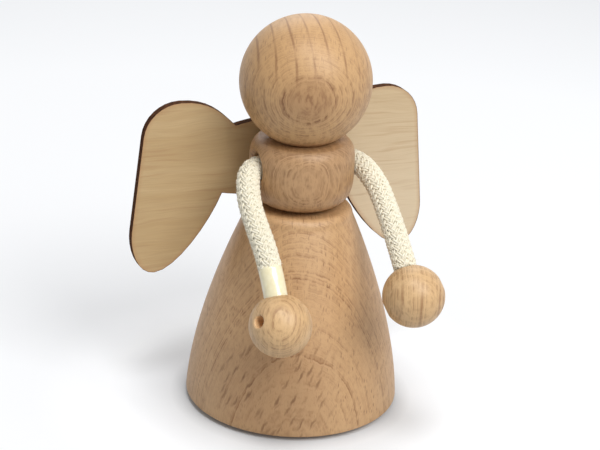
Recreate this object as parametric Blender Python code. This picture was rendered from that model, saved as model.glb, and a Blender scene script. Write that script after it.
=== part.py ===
"""Wooden angel figurine: turned beech body, plywood wings, cord arms and bead hands.

The figure faces -Y and stands on Z = 0. Its right hand is on the -X side.
"""
import math

import bmesh
import bpy
from mathutils import Matrix, Vector

# Driving dimensions, in metres and degrees
FIT_GAP = 0.0003

SKIRT_HEIGHT = 0.0523
SKIRT_BASE_RADIUS = 0.02705
SKIRT_TOP_RADIUS = 0.01225
SKIRT_FLARE = 1.62
SKIRT_FOOT_ROUND = 0.0022
SKIRT_RIM_ROUND = 0.001

BUST_HEIGHT = 0.0167
BUST_RADIUS = 0.01295
BUST_WIDEST_HEIGHT = 0.0099
BUST_FOOT_TRIM = 0.0002
BUST_FOOT_SQUARENESS = 3.7
BUST_TOP_TRIM = 0.0014
BUST_TOP_SQUARENESS = 4.0

HEAD_RADIUS = 0.0161
HEAD_SEAT_RADIUS = 0.0076

DOWEL_RADIUS = 0.003
NECK_DOWEL_IN_HEAD = 0.0115
WAIST_DOWEL_IN_SKIRT = 0.014
DOWEL_END_WALL = 0.0006
DOWEL_CHAMFER = 0.0005

# Wing outline, from the middle line outwards; rises are from the bust's top,
# drops are from the bust's foot
WING_THICKNESS = 0.002
WING_FLAT_DEPTH = 0.00182
BRIDGE_TOP_RISE = 0.0019
BRIDGE_FOOT_DROP = 0.0016
UPPER_NOTCH_REACH = 0.0132
UPPER_NOTCH_RISE = 0.0005
WING_TOP_REACH = 0.0275
WING_TOP_RISE = 0.0075
WING_SHOULDER_REACH = 0.037
WING_SHOULDER_RISE = -0.0007
WING_ELBOW_REACH = 0.03975
WING_ELBOW_DROP = 0.0084
WING_TIP_REACH = 0.0338
WING_TIP_DROP = 0.0198
LOWER_NOTCH_REACH = 0.0163
LOWER_NOTCH_DROP = 0.0003

CORD_RADIUS = 0.003
SLEEVE_RADIUS = 0.0029
BORE_CLEARANCE = 0.0007
BORE_DROP = 0.0066
MOUTH_SINK = 0.0016
PIVOT_INSET = 0.00035
LEFT_ARM_RAISE = 9.5
# Length of taped cord end that shows outside each hand
RIGHT_SLEEVE_SHOWING = 0.006
LEFT_SLEEVE_SHOWING = -0.0006

BEAD_RADIUS = 0.0075
BEAD_SOCKET_DEPTH = 0.005
BEAD_HOLE_RADIUS = 0.0014
BEAD_HOLE_TURN = 27.0
BEAD_HOLE_TILT = 9.0

# Route of one arm from inside the arm bore to the middle of the hand, measured
# from its pivot at the bore's mouth: outwards, along Y and up
ARM_ROUTE = [
    (-0.00280, 0.00000, 0.00000),
    (-0.00160, 0.00000, 0.00000),
    (-0.00049, -0.00019, -0.00011),
    (0.00054, -0.00062, -0.00036),
    (0.00151, -0.00135, -0.00079),
    (0.00245, -0.00265, -0.00160),
    (0.00325, -0.00470, -0.00305),
    (0.00385, -0.00720, -0.00505),
    (0.00405, -0.01020, -0.00760),
    (0.00385, -0.01370, -0.01065),
    (0.00355, -0.01770, -0.01420),
    (0.00335, -0.02160, -0.01860),
    (0.00335, -0.02520, -0.02350),
    (0.00350, -0.02870, -0.02870),
]

# Facets
LATHE_STEPS = 56
BALL_RINGS = 20
PROFILE_STEPS = 14
BEAD_STEPS = 28
BEAD_RINGS = 14
HOLE_STEPS = 24
OUTLINE_STEPS = 8
CORD_POINT_SPACING = 0.0015

# Colours of the finishes
BEECH = (0.62, 0.42, 0.26)
BEECH_LIGHT = (0.68, 0.47, 0.28)
PLYWOOD = (0.66, 0.50, 0.33)
COTTON = (0.85, 0.80, 0.66)
TAPE = (0.83, 0.76, 0.52)

# Heights of the seats, from the table up
BUST_FOOT = SKIRT_HEIGHT + FIT_GAP
BUST_TOP = BUST_FOOT + BUST_HEIGHT
ARM_HEIGHT = BUST_TOP - BORE_DROP
HEAD_FOOT = BUST_TOP + FIT_GAP
HEAD_MIDDLE = HEAD_FOOT + math.sqrt(HEAD_RADIUS ** 2 - HEAD_SEAT_RADIUS ** 2)
BORE_RADIUS = CORD_RADIUS + BORE_CLEARANCE
WING_SEAT_Y = BUST_RADIUS - WING_FLAT_DEPTH
PIVOT_X = BUST_RADIUS - PIVOT_INSET


def clear_scene():
    for old in list(bpy.data.objects):
        bpy.data.objects.remove(old, do_unlink=True)


def finish(name, colour, roughness):
    """One piece's own material."""
    material = bpy.data.materials.new(name + "_finish")
    material.use_nodes = True
    shader = material.node_tree.nodes["Principled BSDF"]
    shader.inputs["Base Color"].default_value = (*colour, 1.0)
    shader.inputs["Roughness"].default_value = roughness
    shader.inputs["Metallic"].default_value = 0.0
    return material


def add_object(name, data, parent=None):
    item = bpy.data.objects.new(name, data)
    bpy.context.scene.collection.objects.link(item)
    item.parent = parent
    return item


def add_mesh(name, bm, parent=None):
    """Turn a bmesh into an object with its faces pointing out."""
    bmesh.ops.recalc_face_normals(bm, faces=bm.faces)
    mesh = bpy.data.meshes.new(name)
    bm.to_mesh(mesh)
    bm.free()
    return add_object(name, mesh, parent)


def smooth(item):
    item.data.shade_smooth()
    item.data.set_sharp_from_angle(angle=math.radians(35.0))


def lathe(profile, steps):
    """Turn (radius, height) points, foot first, about Z; both ends lie on the axis."""
    bm = bmesh.new()
    rings = []
    for radius, height in profile[1:-1]:
        ring = []
        for k in range(steps):
            angle = 2 * math.pi * k / steps
            ring.append(bm.verts.new((radius * math.cos(angle), radius * math.sin(angle), height)))
        rings.append(ring)
    foot = bm.verts.new((0.0, 0.0, profile[0][1]))
    top = bm.verts.new((0.0, 0.0, profile[-1][1]))
    for k in range(steps):
        after = (k + 1) % steps
        bm.faces.new((foot, rings[0][after], rings[0][k]))
        bm.faces.new((top, rings[-1][k], rings[-1][after]))
        for lower, upper in zip(rings, rings[1:]):
            bm.faces.new((lower[k], lower[after], upper[after], upper[k]))
    return bm


def rod(name, start, end, radius, parent=None, chamfer=0.0):
    """A round rod between two points, as a turned piece."""
    length = (end - start).length
    profile = [(0.0, 0.0), (radius, chamfer), (radius, length - chamfer), (0.0, length)]
    if chamfer:
        profile.insert(1, (radius - chamfer, 0.0))
        profile.insert(-1, (radius - chamfer, length))
    bm = lathe(profile, HOLE_STEPS)
    turn = Vector((0.0, 0.0, 1.0)).rotation_difference(end - start).to_matrix().to_4x4()
    bm.transform(Matrix.Translation(start) @ turn)
    return add_mesh(name, bm, parent)


def as_cutter(item):
    item.hide_render = True
    item.display_type = 'WIRE'
    return item


def cut(item, cutter):
    modifier = item.modifiers.new("cut_" + cutter.name, 'BOOLEAN')
    modifier.operation = 'DIFFERENCE'
    modifier.solver = 'EXACT'
    modifier.object = cutter


def skirt_radius(height):
    share = max(0.0, height / SKIRT_HEIGHT)
    return SKIRT_BASE_RADIUS - (SKIRT_BASE_RADIUS - SKIRT_TOP_RADIUS) * share ** SKIRT_FLARE


def skirt_profile():
    """Flat foot, rounded lower edge, bell side and a softened rim."""
    points = [(0.0, 0.0)]
    foot_reach = skirt_radius(SKIRT_FOOT_ROUND)
    for k in range(5):
        angle = math.radians(90.0) * k / 4
        radius = foot_reach - SKIRT_FOOT_ROUND * (1 - math.sin(angle))
        points.append((radius, SKIRT_FOOT_ROUND * (1 - math.cos(angle))))
    side_top = SKIRT_HEIGHT - SKIRT_RIM_ROUND
    for k in range(1, PROFILE_STEPS + 1):
        height = SKIRT_FOOT_ROUND + (side_top - SKIRT_FOOT_ROUND) * k / PROFILE_STEPS
        points.append((skirt_radius(height), height))
    rim = skirt_radius(side_top) - SKIRT_RIM_ROUND
    points.append((rim + SKIRT_RIM_ROUND * math.sqrt(0.5), side_top + SKIRT_RIM_ROUND * math.sqrt(0.5)))
    points.append((rim, SKIRT_HEIGHT))
    points.append((0.0, SKIRT_HEIGHT))
    return points


def bust_profile():
    """A barrel: two superellipses that meet at its widest ring, each trimmed flat at its end."""
    widest = BUST_FOOT + BUST_WIDEST_HEIGHT
    foot_half = (BUST_WIDEST_HEIGHT, BUST_FOOT_TRIM, BUST_FOOT_SQUARENESS)
    top_half = (BUST_HEIGHT - BUST_WIDEST_HEIGHT, BUST_TOP_TRIM, BUST_TOP_SQUARENESS)
    points = [(0.0, BUST_FOOT)]
    for k in range(PROFILE_STEPS + 1):
        # Rings crowd towards the ends, where the barrel turns most
        share = math.sin(math.pi * (k / PROFILE_STEPS - 0.5))
        reach, trim, squareness = foot_half if share < 0 else top_half
        offset = share * reach
        fullness = 1 - abs(offset / (reach + trim)) ** squareness
        points.append((BUST_RADIUS * fullness ** (1 / squareness), widest + offset))
    points.append((0.0, BUST_TOP))
    return points


def head_profile():
    """A ball with a flat seat under it."""
    seat_angle = math.asin(HEAD_SEAT_RADIUS / HEAD_RADIUS)
    points = [(0.0, HEAD_FOOT)]
    for k in range(BALL_RINGS):
        angle = seat_angle + (math.pi - seat_angle) * k / BALL_RINGS
        points.append((HEAD_RADIUS * math.sin(angle), HEAD_MIDDLE - HEAD_RADIUS * math.cos(angle)))
    points.append((0.0, HEAD_MIDDLE + HEAD_RADIUS))
    return points


def make_body():
    """Skirt, bust and head, with the dowels and the holes that join them."""
    skirt = add_mesh("skirt", lathe(skirt_profile(), LATHE_STEPS))
    bust = add_mesh("bust", lathe(bust_profile(), LATHE_STEPS))
    head = add_mesh("head", lathe(head_profile(), LATHE_STEPS))
    for piece in (skirt, bust, head):
        piece.data.materials.append(finish(piece.name, BEECH, 0.6))

    bore_wall = BORE_RADIUS + DOWEL_END_WALL + FIT_GAP
    joints = (
        ("waist_dowel", SKIRT_HEIGHT - WAIST_DOWEL_IN_SKIRT, ARM_HEIGHT - bore_wall, (skirt, bust)),
        ("neck_dowel", ARM_HEIGHT + bore_wall, HEAD_FOOT + NECK_DOWEL_IN_HEAD, (bust, head)),
    )
    for name, low, high, held_by in joints:
        start = Vector((0.0, 0.0, low))
        end = Vector((0.0, 0.0, high))
        dowel = rod(name, start, end, DOWEL_RADIUS, chamfer=DOWEL_CHAMFER)
        dowel.data.materials.append(finish(name, BEECH_LIGHT, 0.7))
        smooth(dowel)
        clearance = Vector((0.0, 0.0, FIT_GAP))
        hole = rod(name + "_hole", start - clearance, end + clearance, DOWEL_RADIUS + FIT_GAP)
        for piece in held_by:
            cut(piece, as_cutter(hole))

    cut(bust, arm_bore_cutter())
    flat = wing_flat_cutter()
    cut(skirt, flat)
    cut(bust, flat)
    for piece in (skirt, bust, head):
        smooth(piece)


def arm_bore_cutter():
    """The cross bore for the arms, with a countersunk mouth on each side of the bust."""
    reach = 2 * BUST_RADIUS
    sink = BUST_RADIUS - MOUTH_SINK
    mouth = BORE_RADIUS + reach - sink
    profile = [(0.0, -reach), (mouth, -reach), (BORE_RADIUS, -sink),
               (BORE_RADIUS, sink), (mouth, reach), (0.0, reach)]
    bm = lathe(profile, HOLE_STEPS)
    bm.transform(Matrix.Translation((0.0, 0.0, ARM_HEIGHT)) @ Matrix.Rotation(math.pi / 2, 4, 'Y'))
    return as_cutter(add_mesh("arm_bore", bm))


def wing_flat_cutter():
    """The flat across the back of the bust and the skirt's rim, where the wings are glued."""
    foot = BUST_FOOT - BRIDGE_FOOT_DROP - FIT_GAP
    depth = SKIRT_BASE_RADIUS
    height = BUST_TOP + BUST_HEIGHT - foot
    bm = bmesh.new()
    bmesh.ops.create_cube(bm, size=1.0)
    bm.transform(Matrix.Translation((0.0, WING_SEAT_Y + depth / 2, foot + height / 2))
                 @ Matrix.Diagonal((4 * BUST_RADIUS, depth, height, 1.0)))
    return as_cutter(add_mesh("wing_flat", bm))


def bezier(start, lead_out, lead_in, end):
    """Points of one cubic stretch, without its last point."""
    points = []
    for k in range(OUTLINE_STEPS):
        t = k / OUTLINE_STEPS
        u = 1 - t
        points.append(start * u ** 3 + lead_out * 3 * u * u * t + lead_in * 3 * u * t * t + end * t ** 3)
    return points


def wing_outline():
    """One wing's edge from the middle of the bridge's top round to the middle of its foot."""
    bridge_top = Vector((0.0, BUST_TOP + BRIDGE_TOP_RISE))
    upper_notch = Vector((UPPER_NOTCH_REACH, BUST_TOP + UPPER_NOTCH_RISE))
    top = Vector((WING_TOP_REACH, BUST_TOP + WING_TOP_RISE))
    shoulder = Vector((WING_SHOULDER_REACH, BUST_TOP + WING_SHOULDER_RISE))
    elbow = Vector((WING_ELBOW_REACH, BUST_FOOT - WING_ELBOW_DROP))
    tip = Vector((WING_TIP_REACH, BUST_FOOT - WING_TIP_DROP))
    lower_notch = Vector((LOWER_NOTCH_REACH, BUST_FOOT - LOWER_NOTCH_DROP))
    bridge_foot = Vector((0.0, BUST_FOOT - BRIDGE_FOOT_DROP))

    outer = (elbow - shoulder).normalized()
    level = Vector((1.0, 0.0))
    rise = top.y - upper_notch.y
    fall = top.y - shoulder.y
    hang = elbow.y - tip.y
    sweep = lower_notch.y - tip.y
    points = bezier(bridge_top, bridge_top + level * upper_notch.x * 0.38,
                    upper_notch + Vector((-0.28, 0.07)) * upper_notch.x, upper_notch)
    points += bezier(upper_notch, upper_notch + Vector((0.49, 0.49)) * rise,
                     top - level * (top.x - upper_notch.x) * 0.52, top)
    points += bezier(top, top + level * (shoulder.x - top.x) * 0.53,
                     shoulder - outer * fall * 0.56, shoulder)
    points.append(shoulder)
    points += bezier(elbow, elbow + outer * hang * 0.4,
                     tip + level * (elbow.x - tip.x) * 0.77, tip)
    points += bezier(tip, tip - level * (tip.x - lower_notch.x) * 0.32,
                     lower_notch + Vector((0.16, -0.4)) * sweep, lower_notch)
    points += bezier(lower_notch, lower_notch - Vector((0.24, 0.055)) * lower_notch.x,
                     bridge_foot + level * lower_notch.x * 0.4, bridge_foot)
    points.append(bridge_foot)
    return points


def make_wings():
    """Both wings and their bridge, cut from one sheet of plywood."""
    half = wing_outline()
    outline = half + [Vector((-point.x, point.y)) for point in reversed(half[1:-1])]
    front = WING_SEAT_Y + FIT_GAP
    bm = bmesh.new()
    edge = [bm.verts.new((point.x, front, point.y)) for point in outline]
    face = bm.faces.new(edge)
    sheet = bmesh.ops.extrude_face_region(bm, geom=[face])
    moved = [item for item in sheet["geom"] if isinstance(item, bmesh.types.BMVert)]
    bmesh.ops.translate(bm, verts=moved, vec=(0.0, WING_THICKNESS, 0.0))
    wings = add_mesh("wings", bm)
    wings.data.materials.append(finish("wings", PLYWOOD, 0.65))


def smooth_route(points, steps):
    """A smooth curve through the route's own points."""
    ends = [points[0] * 2 - points[1], *points, points[-1] * 2 - points[-2]]
    curve = []
    for a, b, c, d in zip(ends, ends[1:], ends[2:], ends[3:]):
        for k in range(steps):
            t = k / steps
            curve.append(0.5 * (2 * b + (c - a) * t + (2 * a - 5 * b + 4 * c - d) * t ** 2
                                + (3 * b - a - 3 * c + d) * t ** 3))
    curve.append(points[-1])
    return curve


def stretch(curve, start, end):
    """The part of a curve between two distances along it, as evenly spaced points."""
    lengths = [0.0]
    for a, b in zip(curve, curve[1:]):
        lengths.append(lengths[-1] + (b - a).length)
    count = max(2, math.ceil((end - start) / CORD_POINT_SPACING))
    points = []
    index = 0
    for k in range(count + 1):
        wanted = start + (end - start) * k / count
        while index < len(curve) - 2 and lengths[index + 1] < wanted:
            index += 1
        share = (wanted - lengths[index]) / (lengths[index + 1] - lengths[index])
        points.append(curve[index].lerp(curve[index + 1], share))
    return points


def tube(name, points, radius, parent):
    """A round cord along points, with closed ends."""
    data = bpy.data.curves.new(name, 'CURVE')
    data.dimensions = '3D'
    data.bevel_depth = radius
    data.bevel_resolution = 4
    data.use_fill_caps = True
    spline = data.splines.new('POLY')
    spline.points.add(len(points) - 1)
    for point, place in zip(spline.points, points):
        point.co = (*place, 1.0)
    return add_object(name, data, parent)


def make_arm(side, outwards, raised, sleeve_showing):
    """One arm on its pivot: the cord in the bore, the free cord, its taped end and the hand."""
    pivot = add_object(side + "_arm_pivot", None)
    pivot.location = (outwards * PIVOT_X, 0.0, ARM_HEIGHT)
    pivot.rotation_euler = (-math.radians(raised), 0.0, 0.0)

    route = [Vector((outwards * x, y, z)) for x, y, z in ARM_ROUTE]
    curve = smooth_route(route, 12)
    length = sum((b - a).length for a, b in zip(curve, curve[1:]))
    hand_edge = length - BEAD_RADIUS
    cord_end = hand_edge - sleeve_showing
    sleeve_end = hand_edge + BEAD_SOCKET_DEPTH - FIT_GAP

    bore_start = Vector((outwards * (FIT_GAP / 2 - PIVOT_X), 0.0, 0.0))
    bore_end = route[0] - Vector((outwards * FIT_GAP, 0.0, 0.0))
    shoulder = tube(side + "_shoulder_cord", [bore_start, bore_end], CORD_RADIUS, pivot)
    arm = tube(side + "_arm_cord", stretch(curve, 0.0, cord_end), CORD_RADIUS, pivot)
    sleeve_points = stretch(curve, cord_end + FIT_GAP, sleeve_end)
    sleeve = tube(side + "_cord_sleeve", sleeve_points, SLEEVE_RADIUS, pivot)
    shoulder.data.materials.append(finish(shoulder.name, COTTON, 0.95))
    arm.data.materials.append(finish(arm.name, COTTON, 0.95))
    sleeve.data.materials.append(finish(sleeve.name, TAPE, 0.2))

    middle = route[-1]
    along = (route[-1] - route[-2]).normalized()
    make_hand(side, outwards, middle, along, pivot)


def make_hand(side, outwards, middle, along, pivot):
    """A bead with a blind socket for the cord and its own cross hole."""
    ball = [(0.0, -BEAD_RADIUS)]
    for k in range(1, BEAD_RINGS):
        angle = math.pi * k / BEAD_RINGS
        ball.append((BEAD_RADIUS * math.sin(angle), -BEAD_RADIUS * math.cos(angle)))
    ball.append((0.0, BEAD_RADIUS))
    bm = lathe(ball, BEAD_STEPS)
    out = Vector((outwards, 0.0, 0.0))
    out = (out - along * out.dot(along)).normalized()
    front = along.cross(out) * outwards
    turn = math.radians(BEAD_HOLE_TURN)
    tilt = math.radians(BEAD_HOLE_TILT)
    hole_axis = (out * math.cos(turn) + front * math.sin(turn)) * math.cos(tilt) - along * math.sin(tilt)
    facing = Vector((0.0, 0.0, 1.0)).rotation_difference(hole_axis).to_matrix().to_4x4()
    bm.transform(Matrix.Translation(middle) @ facing)
    hand = add_mesh(side + "_hand_bead", bm, pivot)
    hand.data.materials.append(finish(hand.name, BEECH_LIGHT, 0.5))
    smooth(hand)

    mouth = middle - along * 2 * BEAD_RADIUS
    floor = middle - along * (BEAD_RADIUS - BEAD_SOCKET_DEPTH)
    socket = rod(side + "_hand_socket", mouth, floor, CORD_RADIUS + FIT_GAP, pivot)
    reach = hole_axis * 2 * BEAD_RADIUS
    hole = rod(side + "_hand_hole", middle - reach, middle + reach, BEAD_HOLE_RADIUS, pivot)
    cut(hand, as_cutter(socket))
    cut(hand, as_cutter(hole))


def main():
    clear_scene()
    make_body()
    make_wings()
    make_arm("right", -1.0, 0.0, RIGHT_SLEEVE_SHOWING)
    make_arm("left", 1.0, LEFT_ARM_RAISE, LEFT_SLEEVE_SHOWING)


main()
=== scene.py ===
# %% [markdown]
# # A wooden angel with cord arms
# The figure is a small craft ornament: a turned beech body, wings cut from thin plywood, two arms of
# braided cotton cord and two bead hands. The solids already exist in the frame, at their real size.
# This lesson dresses them: finer turned surfaces, wood figure that runs through the whole stick,
# scorched wing edges and a real braid for the arms.

# %% Load the frame
import math

import bmesh
import bpy
from mathutils import Matrix, Vector


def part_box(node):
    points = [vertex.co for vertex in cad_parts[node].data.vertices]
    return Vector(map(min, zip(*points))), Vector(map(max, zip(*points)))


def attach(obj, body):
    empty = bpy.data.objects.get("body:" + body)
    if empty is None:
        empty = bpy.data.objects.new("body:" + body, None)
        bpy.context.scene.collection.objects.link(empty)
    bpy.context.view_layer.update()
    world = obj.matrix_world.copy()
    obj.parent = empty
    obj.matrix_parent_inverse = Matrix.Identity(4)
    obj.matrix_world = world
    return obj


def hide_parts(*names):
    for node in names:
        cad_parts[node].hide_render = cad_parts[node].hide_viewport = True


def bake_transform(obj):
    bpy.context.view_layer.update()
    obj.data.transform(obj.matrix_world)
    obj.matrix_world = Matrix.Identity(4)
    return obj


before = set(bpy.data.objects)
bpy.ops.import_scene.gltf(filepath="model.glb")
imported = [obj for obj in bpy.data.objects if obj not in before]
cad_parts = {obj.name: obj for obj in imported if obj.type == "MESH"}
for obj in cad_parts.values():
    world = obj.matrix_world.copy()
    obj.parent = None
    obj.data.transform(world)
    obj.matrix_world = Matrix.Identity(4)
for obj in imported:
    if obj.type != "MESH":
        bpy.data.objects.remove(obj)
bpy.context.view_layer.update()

scene = bpy.context.scene
print("nodes", len(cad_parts))

# %% [markdown]
# The camera stands a little to the figure's right and above it. Its place could be typed as a point,
# but an azimuth, an elevation and a distance from the figure's axis are easier to judge in a photo.
# A slight roll stands for the photographer's hand, which was not quite level.

# %% Camera
CAMERA_AZIMUTH = math.radians(-24.01)
CAMERA_ELEVATION = math.radians(22.30)
CAMERA_ROLL = math.radians(2.90)
CAMERA_DISTANCE = 0.41566
AIM_POINT = Vector((0.0, 0.0, 0.04624))
AIM_SIDESTEP = 0.00033
FOCAL_PIXELS = 1669.1
FRAME_WIDTH_PIXELS = 600.0
SENSOR_WIDTH = 36.0
CLIP_START = 0.01


def add_object(name, data):
    """A new object in the scene."""
    item = bpy.data.objects.new(name, data)
    scene.collection.objects.link(item)
    return item


def outward(azimuth, elevation):
    """From the figure to a viewer; azimuth 0 is in front, positive to the figure's left."""
    level = math.cos(elevation)
    return Vector((math.sin(azimuth) * level, -math.cos(azimuth) * level, math.sin(elevation)))


back = outward(CAMERA_AZIMUTH, CAMERA_ELEVATION)
right = Vector((math.cos(CAMERA_AZIMUTH), math.sin(CAMERA_AZIMUTH), 0.0))
up = back.cross(right)
across = right * math.cos(CAMERA_ROLL) + up * math.sin(CAMERA_ROLL)
upward = up * math.cos(CAMERA_ROLL) - right * math.sin(CAMERA_ROLL)
place = AIM_POINT + back * CAMERA_DISTANCE + right * AIM_SIDESTEP

camera_data = bpy.data.cameras.new("camera")
camera_data.sensor_fit = 'HORIZONTAL'
camera_data.sensor_width = SENSOR_WIDTH
camera_data.lens = FOCAL_PIXELS * SENSOR_WIDTH / FRAME_WIDTH_PIXELS
camera_data.clip_start = CLIP_START
camera = add_object("camera", camera_data)
camera.matrix_world = Matrix.Translation(place) @ Matrix((across, upward, back)).transposed().to_4x4()
scene.camera = camera
print("lens", round(camera_data.lens, 2), "mm")

# %% [markdown]
# Every finish below is a tree of nodes, and so is the braid. A Term is one output of a node: adding,
# subtracting, multiplying or dividing Terms adds Math nodes. Nodes could be placed one by one, but this
# way a long formula stays one readable line.

# %% Node terms
class Term:
    """One output of a node, ready for arithmetic."""

    def __init__(self, node, output=0):
        self.tree = node.id_data
        self.socket = node.outputs[output]

    def __add__(self, other):
        return calc('ADD', self, other)

    def __sub__(self, other):
        return calc('SUBTRACT', self, other)

    def __rsub__(self, other):
        return calc('SUBTRACT', other, self)

    def __mul__(self, other):
        return calc('MULTIPLY', self, other)

    def __truediv__(self, other):
        return calc('DIVIDE', self, other)


def feed(node, inputs):
    """Link Terms to a node's inputs, given by name or number, or set the inputs' own values."""
    for key, value in inputs.items():
        if isinstance(value, Term):
            value.tree.links.new(value.socket, node.inputs[key])
        else:
            node.inputs[key].default_value = value


def add_node(kind, inputs=None, tree=None, **options):
    """Add a node to a tree, or else to the tree of the Terms that feed it."""
    inputs = inputs or {}
    if tree is None:
        tree = next(value.tree for value in inputs.values() if isinstance(value, Term))
    node = tree.nodes.new(kind)
    for name, value in options.items():
        setattr(node, name, value)
    feed(node, inputs)
    return node


def add_term(kind, inputs=None, output=0, **options):
    """Add a node and hand back one of its outputs."""
    return Term(add_node(kind, inputs, **options), output)


def calc(operation, *values, clamp=False):
    return add_term('ShaderNodeMath', dict(enumerate(values)), operation=operation, use_clamp=clamp)


def vector_calc(operation, *values):
    output = "Value" if operation == 'LENGTH' else "Vector"
    return add_term('ShaderNodeVectorMath', dict(enumerate(values)), output, operation=operation)


def combine(*values):
    return add_term('ShaderNodeCombineXYZ', dict(enumerate(values)))


def separate(vector):
    node = add_node('ShaderNodeSeparateXYZ', {0: vector})
    return [Term(node, k) for k in range(3)]


print("terms ready")

# %% [markdown]
# A finish starts from the object's own coordinates, so that it moves with its piece. Noise gives
# variety, a grey ramp picks out a range of values, and a tint lays one colour over another. All of it
# is computed, so there is no picture to load or to stretch.

# %% Finish helpers
def noise(vector, scale=1.0, detail=2.0):
    return add_term('ShaderNodeTexNoise', {"Vector": vector, "Scale": scale, "Detail": detail}, "Fac")


def lot(number):
    """A fixed random value for each whole number."""
    return add_term('ShaderNodeTexWhiteNoise', {"W": number}, "Value", noise_dimensions='1D')


def ramp(factor, *stops):
    """A grey ramp through (position, value) stops."""
    node = add_node('ShaderNodeValToRGB', {0: factor})
    elements = node.color_ramp.elements
    while len(elements) < len(stops):
        elements.new(0.5)
    for element, (position, value) in zip(elements, stops):
        element.position = position
        element.color = (value, value, value, 1.0)
    return Term(node, "Color")


def fade(value, start, end):
    """A smooth step from 0 at start to 1 at end."""
    inputs = {"Value": value, "From Min": start, "From Max": end}
    return add_term('ShaderNodeMapRange', inputs, interpolation_type='SMOOTHSTEP')


def tint(factor, first, second):
    """Mix two colours by a factor."""
    first, second = ((*value, 1.0) if isinstance(value, tuple) else value for value in (first, second))
    return add_term('ShaderNodeMix', {0: factor, 6: first, 7: second}, 2, data_type='RGBA')


def attribute(tree, name):
    return add_term('ShaderNodeAttribute', output="Fac", tree=tree, attribute_name=name)


def bump(height, distance, strength):
    return add_term('ShaderNodeBump', {"Height": height, "Distance": distance, "Strength": strength})


def start_material(name, roughness):
    """A new material: its shader and the object coordinates."""
    material = bpy.data.materials.new(name)
    material.use_nodes = True
    shader = material.node_tree.nodes["Principled BSDF"]
    feed(shader, {"Roughness": roughness})
    return material, shader, add_term('ShaderNodeTexCoord', output="Object", tree=material.node_tree)


print("finish helpers ready")

# %% [markdown]
# Wood figure is made of a few repeating marks. Two patterns serve all the turned wood here: short
# dashes scattered in cells, and long thin lines at steady steps. Both work on distances round the pith,
# towards it and along the grain, because that is how the marks grow.

# %% Wood patterns
SWAY_CELL = (0.003, 0.02, 0.012)
WEAR_CELL = (0.0016, 0.009, 0.005)
SWAY = 0.28


def scaled(x, y, z, sizes):
    """Coordinates counted in cells of the given sizes."""
    return combine(*(value / size for value, size in zip((x, y, z), sizes)))


def dashes(around, radial, z, sizes, sparse, spread=0.34):
    """Short dashes in cells of the given sizes; a share of the cells stays empty."""
    cell = add_node('ShaderNodeTexVoronoi', {"Vector": scaled(around, radial, z, sizes), "Scale": 1.0})
    chosen = calc('GREATER_THAN', separate(Term(cell, "Color"))[0], sparse)
    return ramp(Term(cell, "Distance"), (spread * 0.3, 1.0), (spread, 0.0)) * chosen


def long_lines(around, radial, z, step, offset, low, high, lean=0.0):
    """Thin lines at steady steps that fade in between two heights and may lean aside."""
    around = calc('MULTIPLY_ADD', radial, lean, around)
    sway = noise(scaled(around, radial, z, SWAY_CELL))
    place = around - offset + sway * (step * SWAY)
    line = ramp(calc('PINGPONG', place / step, 0.5), (0.0, 1.0), (0.04, 0.7), (0.10, 0.0))
    worn = ramp(noise(scaled(around, radial, z, WEAR_CELL), detail=1.0), (0.30, 0.25), (0.60, 1.0))
    return line * fade(z, low, high) * worn


print("wood patterns ready")

# %% [markdown]
# Beech shows three things at this size. Growth rings are thin darker lines that close into a bullseye
# on a turned ball and make nested arches on a cone. Rays are short dark ticks along the grain that
# become fine lines on the end grain. Pores are tiny specks. A picture of wood would break at every
# edge; here all three are drawn in the stick's own solid coordinates, so skirt, bust and head share one
# figure, as pieces cut from one stick do.

# %% Beech finish
PITH_AZIMUTH = math.radians(-20.0)
PITH_DISTANCE = 0.060
RING_SPACING = 0.00072
LATE_WOOD = ((0.0, 0.25), (0.12, 0.0), (0.55, 0.10), (0.80, 0.60), (0.93, 1.0), (1.0, 0.25))
BREAK_CELL = (0.0009, 0.003, 0.0024)
TICK_CELL = (0.00044, 0.006, 0.0019)
PORE_CELL = (0.00019, 0.00019, 0.0014)
COARSE_CELL = (0.0009, 0.008, 0.0054)
COARSE_SLANT = 0.35
LINE_DEPTH = 0.75
WARMER = (0.98, 0.93, 0.86)
# Painted light on the wall of a bead's threading hole: its reach from the hole's axis, and its colour
HOLE_LIGHT_REACH = (0.00143, 0.00152)
HOLE_LIGHT_COLOUR = (0.80, 0.52, 0.27)


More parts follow.
